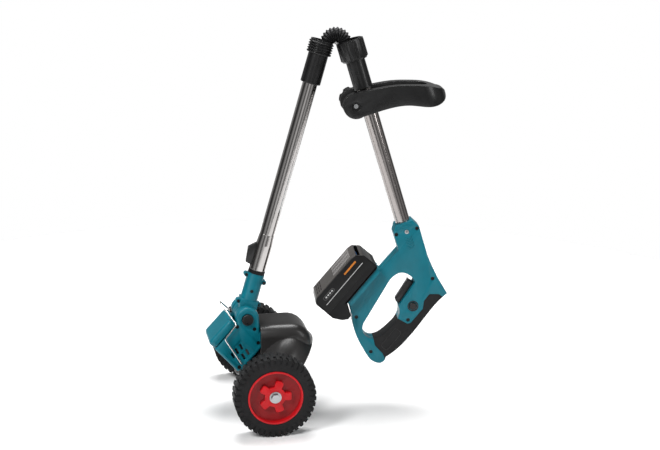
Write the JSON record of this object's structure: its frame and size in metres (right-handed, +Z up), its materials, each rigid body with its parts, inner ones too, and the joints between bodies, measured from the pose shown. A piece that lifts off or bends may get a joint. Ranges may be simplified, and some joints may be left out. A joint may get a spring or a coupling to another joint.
{
  "type": "lawn edger",
  "caption": "Folding cordless wheeled lawn edger: a cutter under a hood between two wheels, swivelling tube, fold-down joint, loop handle and rear D-handle with battery.",
  "frame": {"origin": "on the floor midway under the wheel axle", "axes": "+Z up; +X horizontal from the cutting head towards the folded hand grip; +Y along the axle, away from the handle's lock button"},
  "size_m": [0.416, 0.328, 0.6588],
  "materials": {
    "teal_shell": "satin",
    "black_plastic": "satin",
    "dark_guard": "satin",
    "grey_plastic": "satin",
    "red_hub": "gloss",
    "tyre_rubber": "matte",
    "soft_rubber": "matte",
    "tube_chrome": "polished",
    "steel": "brushed",
    "bronze": "matte",
    "cell_wrap": "gloss",
    "circuit_board": "satin",
    "motor_iron": "satin"
  },
  "bodies": {
    "head": {"head_shell_near": "teal_shell", "head_shell_far": "teal_shell", "head_screws": "steel", "motor_cap": "teal_shell", "motor_can": "motor_iron", "motor_bearings": "steel", "guard": "dark_guard", "tilt_pin": "steel", "axle_bolts": "steel", "axle_washers": "steel", "axle_brackets": "dark_guard", "axle_nuts": "steel"},
    "cutter": {"rotor": "motor_iron", "cutter_blade": "steel", "blade_flange": "steel", "blade_nut": "steel"},
    "wheel_near": {"tyre_near": "tyre_rubber", "wheel_hub_near": "red_hub", "wheel_bushing_near": "bronze"},
    "wheel_far": {"tyre_far": "tyre_rubber", "wheel_hub_far": "red_hub", "wheel_bushing_far": "bronze"},
    "wire": {"plant_guard": "tube_chrome"},
    "tilt_release": {"tilt_button": "black_plastic"},
    "neck": {"neck_shell_near": "teal_shell", "neck_shell_far": "teal_shell", "neck_screws": "steel"},
    "shaft": {"lower_tube": "tube_chrome", "tube_ferrule": "tube_chrome", "swivel_spigot": "black_plastic", "swivel_seal": "soft_rubber", "threaded_collar": "black_plastic", "hinge_leaf_lower": "steel", "hinge_pin": "steel", "joint_bellows": "soft_rubber"},
    "swivel_button": {"swivel_release": "black_plastic"},
    "upper": {"upper_tube": "tube_chrome", "socket_sleeve": "black_plastic", "hinge_leaf_upper": "steel", "loop_clamp": "black_plastic", "loop_bolt": "steel", "handle_shell_near": "teal_shell", "handle_shell_far": "teal_shell", "soft_grip": "soft_rubber", "handle_screws": "steel", "switch_block": "black_plastic", "control_board": "circuit_board", "terminal_block": "black_plastic"},
    "slip_washer": {"nut_slip_washer": "black_plastic"},
    "nut": {"union_nut": "black_plastic"},
    "loop": {"loop_handle": "black_plastic"},
    "knob": {"star_knob": "black_plastic"},
    "trigger_key": {"trigger": "black_plastic"},
    "lock_key": {"lock_button": "black_plastic"},
    "battery": {"battery_case": "grey_plastic", "battery_cover": "black_plastic", "battery_cells": "cell_wrap", "battery_rails": "grey_plastic"},
    "latch_key": {"battery_latch": "black_plastic"}
  },
  "joints": [
    {"name": "cutter_spin", "type": "hinge", "parent": "head", "child": "cutter", "pos_m": [-0.05763, 0, 0.13485], "axis": [-0.7314, 0, 0.682], "continuous": true},
    {"name": "wheel_near_spin", "type": "hinge", "parent": "head", "child": "wheel_near", "pos_m": [0, -0.143, 0.0685], "axis": [0, 1, 0], "continuous": true},
    {"name": "wheel_far_spin", "type": "hinge", "parent": "head", "child": "wheel_far", "pos_m": [0, 0.143, 0.0685], "axis": [0, 1, 0], "continuous": true},
    {"name": "plant_guard_flip", "type": "hinge", "parent": "head", "child": "wire", "pos_m": [-0.03972, 0, 0.08807], "axis": [0, 1, 0], "range_deg": [-150, 0]},
    {"name": "tilt_button_press", "type": "slide", "parent": "head", "child": "tilt_release", "axis": [0, 1, 0], "range_m": [0, 0.003], "stiffness_N_per_m": 400},
    {"name": "head_tilt", "type": "hinge", "parent": "head", "child": "neck", "pos_m": [-0.0283, 0, 0.1663], "axis": [0, 1, 0], "range_deg": [-45, 20]},
    {"name": "head_swivel", "type": "hinge", "parent": "neck", "child": "shaft", "pos_m": [-0.0283, 0, 0.1663], "axis": [0.2807, 0, 0.9598], "range_deg": [-83, 97]},
    {"name": "swivel_release_press", "type": "slide", "parent": "shaft", "child": "swivel_button", "axis": [0.9527, -0.1219, -0.2786], "range_m": [0, 0.0025], "stiffness_N_per_m": 400},
    {"name": "tube_fold", "type": "hinge", "parent": "shaft", "child": "upper", "pos_m": [0.13183, -0.00279, 0.63291], "axis": [-0.117, -0.9925, 0.0342], "range_deg": [0, 147.4], "deforming": ["joint_bellows"]},
    {"name": "nut_slide", "type": "slide", "parent": "upper", "child": "slip_washer", "axis": [0.2768, -0.0657, -0.9587], "range_m": [0, 0.03]},
    {"name": "nut_spin", "type": "hinge", "parent": "slip_washer", "child": "nut", "pos_m": [0.15943, -0.00651, 0.61944], "axis": [0.2768, -0.0657, -0.9587], "continuous": true},
    {"name": "loop_tilt", "type": "hinge", "parent": "upper", "child": "loop", "pos_m": [0.16225, -0.0099, 0.53078], "axis": [0.117, 0.9925, -0.0342], "range_deg": [-40, 45]},
    {"name": "knob_spin", "type": "hinge", "parent": "loop", "child": "knob", "pos_m": [0.16751, 0.03477, 0.52924], "axis": [0.117, 0.9925, -0.0342], "continuous": true},
    {"name": "trigger_pull", "type": "slide", "parent": "upper", "child": "trigger_key", "axis": [0.8251, -0.1163, -0.5528], "range_m": [0, 0.006], "stiffness_N_per_m": 400},
    {"name": "lock_press", "type": "slide", "parent": "upper", "child": "lock_key", "axis": [0.117, 0.9925, -0.0342], "range_m": [0, 0.003], "stiffness_N_per_m": 400},
    {"name": "battery_slide", "type": "slide", "parent": "upper", "child": "battery", "axis": [-0.6426, 0.0494, -0.7646], "range_m": [0, 0.045]},
    {"name": "battery_latch_press", "type": "slide", "parent": "battery", "child": "latch_key", "axis": [-0.7573, 0.1114, 0.6435], "range_m": [0, 0.0025], "stiffness_N_per_m": 500}
  ]
}
